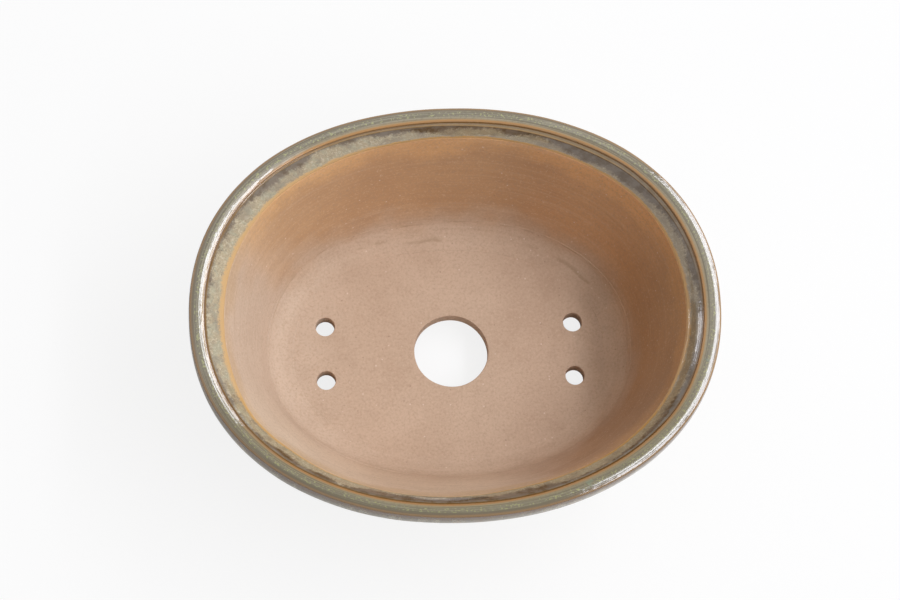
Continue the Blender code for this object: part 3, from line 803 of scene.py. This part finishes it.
# Painted shade: below the rust band the lip's outer side is darkened all round, darkest under the lip.
SIDE_COLOURS = [
    (0.00, (0.30, 0.175, 0.07)), (0.03, (0.30, 0.17, 0.065)), (0.06, (0.30, 0.17, 0.065)),
    (0.30, (0.25, 0.15, 0.065)), (0.40, (0.21, 0.165, 0.085)), (0.60, (0.21, 0.175, 0.10)),
    (0.90, (0.17, 0.135, 0.08)), (1.00, (0.14, 0.105, 0.06)), (1.06, (0.25, 0.205, 0.12)),
    (1.5, (0.27, 0.23, 0.135)), (1.92, (0.24, 0.19, 0.105)), (2.0, (0.44, 0.27, 0.11)),
]
glaze, tree, shader = finish_material("olive_glaze", roughness=0.08, specular=0.80)
place = marked(tree, "unrolled", "Vector")
band = marked(tree, "band")
step_share = marked(tree, "step")
brown_share = marked(tree, "browned")
below_ridge = marked(tree, "inside_ridge_mm")
from_edge = marked(tree, "from_edge_mm")
axes = put(tree, "SeparateXYZ", None, Vector=place)
leftward = between(tree, axes["X"], -0.01, -0.065)
at_left_end = between(tree, axes["X"], -0.052, -0.076)
off_right_end = between(tree, axes["X"], 0.040, 0.070, 1.0, 0.35)
at_front = between(tree, axes["Y"], -0.010, -0.045)
speckle = grain(tree, place, 1150, 4, 0.62)
curly = grain(tree, place, 760, 3, 0.6, 1.6)
drift = grain(tree, place, 60, 2)


def shaken(tree, value, noisy, reach):
    """Moves a value up or down by up to a reach, as a noise goes."""
    return sums(tree, "ADD", value, between(tree, noisy, 0.3, 0.7, -reach, reach, smooth=False))


moved_band = shaken(tree, shaken(tree, band, drift, 0.012), speckle, 0.010)
on_top = ramp(tree, moved_band, 2.0, LIP_COLOURS)
on_side = ramp(tree, sums(tree, "SUBTRACT", moved_band, 2.0), 2.0, SIDE_COLOURS)
colour = over(tree, between(tree, moved_band, 1.98, 2.02), on_top, on_side)

in_mouth = window(tree, band, 0.0, 0.04, 0.90, 0.98)
curled = times(tree, in_mouth, between(tree, axes["X"], 0.03, -0.065, 0.70, 1.0))
green = between(tree, grain(tree, place, 260, 3, 0.55, 0.8), 0.47, 0.62, 0.0, 0.36)
green = times(tree, green, between(tree, brown_share, 0.0, 0.6, 1.0, 0.25))
clouds = between(tree, grain(tree, place, 150, 2, 0.5), 0.48, 0.66, 0.0, 0.50)
colour = layered(tree, colour, [
    (times(tree, in_mouth, times(tree, brown_share, 0.9)), BROWNED),
    (times(tree, curled, between(tree, curly, 0.53, 0.68, 0.0, 0.85)), DARK_CURL),
    (times(tree, curled, between(tree, curly, 0.49, 0.34, 0.0, 0.80)), PALE_CURL),
    (times(tree, curled, green), GREY_GREEN),
    (times(tree, in_mouth, clouds), CLOUD_BROWN),
])

streaks = grain(tree, stretched(tree, place, (1, 1, 0.30)), 620, 3, 0.6)
pool = shaken(tree, shaken(tree, marked(tree, "pool_left_mm"), streaks, 0.7), curly, 0.5)
pool = times(tree, between(tree, pool, -1.2, 1.2, 0.0, 0.95), between(tree, below_ridge, 0.05, 0.35))
greyed = between(tree, grain(tree, place, 240, 3, 0.6), 0.36, 0.60, 0.0, 0.9)
colour = over(tree, pool, colour, over(tree, greyed, POOLED, POOL_GREY))

unsteady = shaken(tree, between(tree, drift, 0.3, 0.7, -0.12, 0.12, smooth=False), speckle, 0.10)
below_crest = sums(tree, "ADD", below_ridge, unsteady)
past_second = sums(tree, "ADD", marked(tree, "past_second_mm"), unsteady)
between_ridges = times(tree, window(tree, below_crest, 0.10, 0.30, 50.0, 51.0),
                       between(tree, past_second, -0.30, 0.0, 1.0, 0.0))
between_ridges = times(tree, times(tree, between_ridges, step_share), times(tree, off_right_end, 0.90))
thin_rust = times(tree, window(tree, past_second, -0.38, -0.12, 0.10, 0.40), step_share)
# A dark glaze break under the crest with painted shade in it: strong round most of the mouth, fainter at the
# lit left end.
dark_line_and_shade = times(tree, window(tree, below_crest, 0.28, 0.50, 0.80, 1.15),
                  between(tree, leftward, 0.0, 1.0, 0.92, 0.55, smooth=False))
wide_crest = window(tree, below_crest, -0.72, -0.40, 0.22, 0.44)
narrow_crest = window(tree, below_crest, -0.30, -0.10, 0.12, 0.34)
rusted = times(tree, over(tree, at_left_end, wide_crest, narrow_crest), 0.92)
colour = layered(tree, colour, [
    (times(tree, window(tree, below_crest, 0.10, 0.35, 0.9, 1.5), 0.60), TAN_OLIVE),
    (between_ridges, TAN_OLIVE),
    (times(tree, thin_rust, times(tree, off_right_end, 0.85)), RUST_THIN),
    (dark_line_and_shade, DARK_RUST_AND_SHADE),
    (rusted, over(tree, at_left_end, RUST, RUST_BURNT)),
])

on_face = window(tree, band, 1.12, 1.20, 1.88, 1.96)
mid_face = window(tree, band, 1.32, 1.40, 1.68, 1.76)
lines = grain(tree, stretched(tree, place, (22, 22, 2900)), 1.0, 2, 0.6)
dots = grain(tree, stretched(tree, place, (1, 1, 1.3)), 1250, 2, 0.5)
rare = between(tree, grain(tree, place, 240, 2, 0.5), 0.67, 0.73, 0.0, 0.30)
colour = layered(tree, colour, [
    (times(tree, on_face, between(tree, lines, 0.48, 0.62, 0.0, 0.65)), OLIVE_DARK),
    (times(tree, on_face, between(tree, lines, 0.50, 0.38, 0.0, 0.45)), OLIVE_PALE),
    (times(tree, mid_face, between(tree, dots, 0.57, 0.63, 0.0, 0.85)), YELLOW_GREEN),
    (times(tree, on_face, between(tree, speckle, 0.50, 0.64, 0.0, 0.30)), OLIVE_DARK),
    (times(tree, window(tree, band, 1.2, 1.3, 1.8, 1.9), rare), TURQUOISE),
])
# Painted shade: the lip and its outer edge darker at the front.
colour = layered(tree, colour, [
    (times(tree, at_front, window(tree, band, 0.85, 0.98, 2.3, 2.6)), PAINTED_SHADE_FRONT_LIP),
    (times(tree, at_front, window(tree, band, 2.01, 2.08, 2.4, 2.7)), PAINTED_SHADE_FRONT_EDGE),
], "MULTIPLY")

below_lip = between(tree, band, 2.16, 2.4)
runs_down = grain(tree, stretched(tree, place, (1, 1, 0.10)), 300, 4, 0.6, 0.6)
rusty = grain(tree, stretched(tree, place, (1, 1, 0.35)), 130, 4, 0.65)
wavering = sums(tree, "ADD", marked(tree, "ochre_share"), between(tree, curly, 0.3, 0.7, -0.22, 0.22))
colour = layered(tree, colour, [
    (times(tree, below_lip, between(tree, runs_down, 0.46, 0.66, 0.0, 0.60)), RUN_PALE),
    (times(tree, below_lip, between(tree, runs_down, 0.46, 0.30, 0.0, 0.60)), RUN_DARK),
    (times(tree, below_lip, between(tree, rusty, 0.55, 0.72, 0.0, 0.55)), RUST),
    (times(tree, below_lip, between(tree, speckle, 0.52, 0.36, 0.0, 0.30)), CREAM),
    (between(tree, wavering, 0.60, 1.25, 0.95, 0.0), over(tree, leftward, OCHRE_DEEP, OCHRE)),
    (between(tree, from_edge, 0.10, 0.45, 0.60, 0.0), BARE_EDGE),
])
tree.links.new(colour, shader.inputs["Base Color"])
glossy = between(tree, speckle, 0.3, 0.7, 0.065, 0.10)
dry_edge = between(tree, from_edge, 0.40, 1.10, 0.45, 0.0)
tree.links.new(sums(tree, "MAXIMUM", glossy, dry_edge), shader.inputs["Roughness"])
pitted = put(tree, "Bump", None, Strength=0.05, Distance=0.0002, Height=speckle)["Normal"]
swelling = grain(tree, place, 260, 2, 0.5)
waved = put(tree, "Bump", None, Strength=0.18, Distance=0.0005, Height=swelling, Normal=pitted)["Normal"]
tree.links.new(waved, shader.inputs["Normal"])
glaze_coat.data.materials.append(glaze)
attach(glaze_coat, "root")
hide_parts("glaze_coat")

# The feet
# Four short blocks of clay that follow the oval under its shoulders, pressed on with slip, cut level and
# sponged round. They are bare, and darker where the sponge has drawn out the coarser sand.
FOOT_INSET = 0.0020
FOOT_WIDTH = 0.0090
FOOT_TAPER = 0.0012
FOOT_LENGTH = 0.040
FOOT_FIRST_TURN = 24
FOOT_LAST_TURN = 56
FOOT_ROUND = 0.0010
FOOT_SECTION_POINTS = 48
FOOT_SLICES = 60

foot_clay = stoneware("foot_stoneware", COARSE_CLAY, wiping=0.6)
base_ends, base_sides = outer_insets(SLAB_UNDERSIDE)


def rounded_block(width, height, rounded, count):
    """A closed outline, (across, up), of a block with rounded lower corners and a wider top."""
    corners = [(FOOT_TAPER, 0.0), (0.0, height), (width, height), (width - FOOT_TAPER, 0.0)]
    shape = []
    for number, corner in enumerate(corners):
        before, after = corners[number - 1], corners[(number + 1) % 4]
        corner, before, after = Vector(corner), Vector(before), Vector(after)
        reach = rounded if corner.y == 0.0 else rounded * 0.25
        start = corner + (before - corner).normalized() * reach
        end = corner + (after - corner).normalized() * reach
        for step in range(count // 4):
            share = step / (count // 4 - 1)
            shape.append(start * (1 - share) ** 2 + corner * 2 * share * (1 - share) + end * share ** 2)
    return shape


foot_section = rounded_block(FOOT_WIDTH, SLAB_UNDERSIDE, FOOT_ROUND, FOOT_SECTION_POINTS)
middle = FOOT_WIDTH / 2
for along, end in ((-1, "left"), (1, "right")):
    for side_sign, side in ((-1, "front"), (1, "back")):
        name = f"foot_{side}_{end}"
        points, faces = [], []
        for step in range(FOOT_SLICES + 1):
            share = step / FOOT_SLICES
            turn = math.radians(FOOT_FIRST_TURN + (FOOT_LAST_TURN - FOOT_FIRST_TURN) * share)
            from_end = min(share, 1 - share) * FOOT_LENGTH
            drawn_in = FOOT_ROUND * (1 - math.sqrt(1 - (1 - min(from_end / FOOT_ROUND, 1.0)) ** 2))
            for inset, up in foot_section:
                inset = middle + (inset - middle) * (1 - drawn_in / middle)
                up = up + drawn_in * (1 - up / SLAB_UNDERSIDE)
                half_length = LIP_HALF_LENGTH - base_ends - FOOT_INSET - inset
                half_breadth = LIP_HALF_BREADTH - base_sides - FOOT_INSET - inset
                x, y, z = oval(half_length, half_breadth, up, np.array([turn]))[0]
                points.append((along * x, side_sign * y, z))
        ring = FOOT_SECTION_POINTS
        for step in range(FOOT_SLICES):
            for i in range(ring):
                a, b = step * ring + i, step * ring + (i + 1) % ring
                same_handed = along * side_sign > 0
                faces.append((a, b, b + ring, a + ring) if same_handed else (a, a + ring, b + ring, b))
        faces.append(tuple(range(ring)))
        faces.append(tuple(FOOT_SLICES * ring + i for i in range(ring)))
        points = np.array(points)
        swell = hand_wobble(points, 0.012, 0.00030)
        standing = np.clip(points[:, 2] / 0.0015, 0, 1)
        points[:, 0] += swell * standing * along
        points[:, 1] += swell * standing * side_sign
        foot = make_piece(f"clay_{name}", points, faces)
        foot.data.materials.append(foot_clay)
        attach(foot, "root")
        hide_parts(name)

# The stage
# A plain pale floor under the pot and white surroundings, lit by a long window lamp with a soft glow round it
# at the right and a narrow strip of light at the left. The camera looks down into the mouth.
WHITE = (1.0, 1.0, 1.0)
FLOOR_PAINT = (0.85, 0.84, 0.83)
FLOOR_WHITENED = 0.83

bpy.ops.mesh.primitive_plane_add(size=6, location=(0, 0, 0))
floor = bpy.context.object
floor.name = "pale_floor"
pale = bpy.data.materials.new("pale_floor")
pale.use_nodes = True
tree = pale.node_tree
shader = tree.nodes["Principled BSDF"]
shader.inputs["Base Color"].default_value = (*FLOOR_PAINT, 1)
shader.inputs["Roughness"].default_value = 0.9
shader.inputs["Specular IOR Level"].default_value = 0.1
bright = put(tree, "Emission", None, Color=WHITE, Strength=1.0)["Emission"]
rays = put(tree, "LightPath")
seen = times(tree, sums(tree, "MAXIMUM", rays["Is Camera Ray"], rays["Is Transmission Ray"]), FLOOR_WHITENED)
mixed = put(tree, "MixShader", None, i0=seen, i1=shader.outputs["BSDF"], i2=bright)["Shader"]
tree.links.new(mixed, tree.nodes["Material Output"].inputs["Surface"])
floor.data.materials.append(pale)

world = bpy.data.worlds.new("white_surroundings")
bpy.context.scene.world = world
world.use_nodes = True
tree = world.node_tree
rays = put(tree, "LightPath")
directly = sums(tree, "MAXIMUM", rays["Is Camera Ray"], rays["Is Transmission Ray"])
directly = sums(tree, "MAXIMUM", directly, rays["Is Glossy Ray"])
way = put(tree, "SeparateXYZ", None, Vector=put(tree, "TexCoord")["Generated"])
overhead = between(tree, way["Z"], 0.55, 1.0, 0.0, 0.585, smooth=False)
window_side = between(tree, way["X"], 0.0, 1.0, 0.0, 1.16, smooth=False)
front = between(tree, way["Y"], 0.0, -1.0, 0.0, 0.24, smooth=False)
back = between(tree, way["Y"], 0.0, 1.0, 0.0, 0.56, smooth=False)
light = sums(tree, "ADD", sums(tree, "ADD", overhead, window_side), sums(tree, "ADD", front, back))
background = tree.nodes["Background"]
tree.links.new(over(tree, directly, light, WHITE), background.inputs["Color"])
background.inputs["Strength"].default_value = 1.0


def soft_lamp(name, towards_it, distance, width, length, watts, colour):
    """A flat lamp that faces the pot, its length level with the pot's short axis as far as it can be."""
    lamp = bpy.data.lights.new(name, "AREA")
    lamp.shape = "RECTANGLE"
    lamp.size = width
    lamp.size_y = length
    lamp.energy = watts
    lamp.color = colour
    lamp_object = bpy.data.objects.new(name, lamp)
    bpy.context.scene.collection.objects.link(lamp_object)
    back = Vector(towards_it).normalized()
    lamp_object.location = Vector((0, 0, CROWN_LEVEL)) + back * distance
    long_way = (Vector((0, 1, 0)) - back * back.y).normalized()
    lamp_object.rotation_euler = Matrix((long_way.cross(back), long_way, back)).transposed().to_euler()


soft_lamp("window_lamp", (0.574, -0.01, 0.819), 1.2, 0.15, 1.90, 8.1, (0.89, 0.91, 1.0))
soft_lamp("window_glow", (0.56, -0.01, 0.829), 1.22, 0.50, 1.50, 3.0, (0.93, 0.96, 1.0))
soft_lamp("left_strip", (-0.854, 0.465, 0.232), 1.2, 0.06, 0.35, 0.6, (0.95, 0.93, 1.0))

CAMERA_DISTANCE = 0.9
CAMERA_LEAN = math.radians(16.5)
CAMERA_YAW = math.radians(3.32)
CAMERA_ROLL = math.radians(-2.02)
AIM_BELOW_CROWN = 0.0008
AIM_LEFT = 0.0021
AIM_UP = 0.0029
back_way = Vector((
    -math.sin(CAMERA_YAW) * math.cos(CAMERA_LEAN),
    -math.sin(CAMERA_LEAN),
    math.cos(CAMERA_LEAN) * math.cos(CAMERA_YAW),
))
right_way = Vector((0, 1, 0)).cross(back_way).normalized()
up_way = back_way.cross(right_way)
aim = Vector((0, 0, CROWN_LEVEL - AIM_BELOW_CROWN)) - right_way * AIM_LEFT + up_way * AIM_UP
camera = bpy.data.cameras.new("camera")
camera.lens = 106.5
camera.sensor_width = 36
camera_object = bpy.data.objects.new("camera", camera)
bpy.context.scene.collection.objects.link(camera_object)
turned = Matrix((right_way, up_way, back_way)).transposed() @ Matrix.Rotation(CAMERA_ROLL, 3, "Z")
camera_object.matrix_world = Matrix.Translation(aim + back_way * CAMERA_DISTANCE) @ turned.to_4x4()
bpy.context.scene.camera = camera_object
bpy.context.scene.view_settings.view_transform = "Standard"
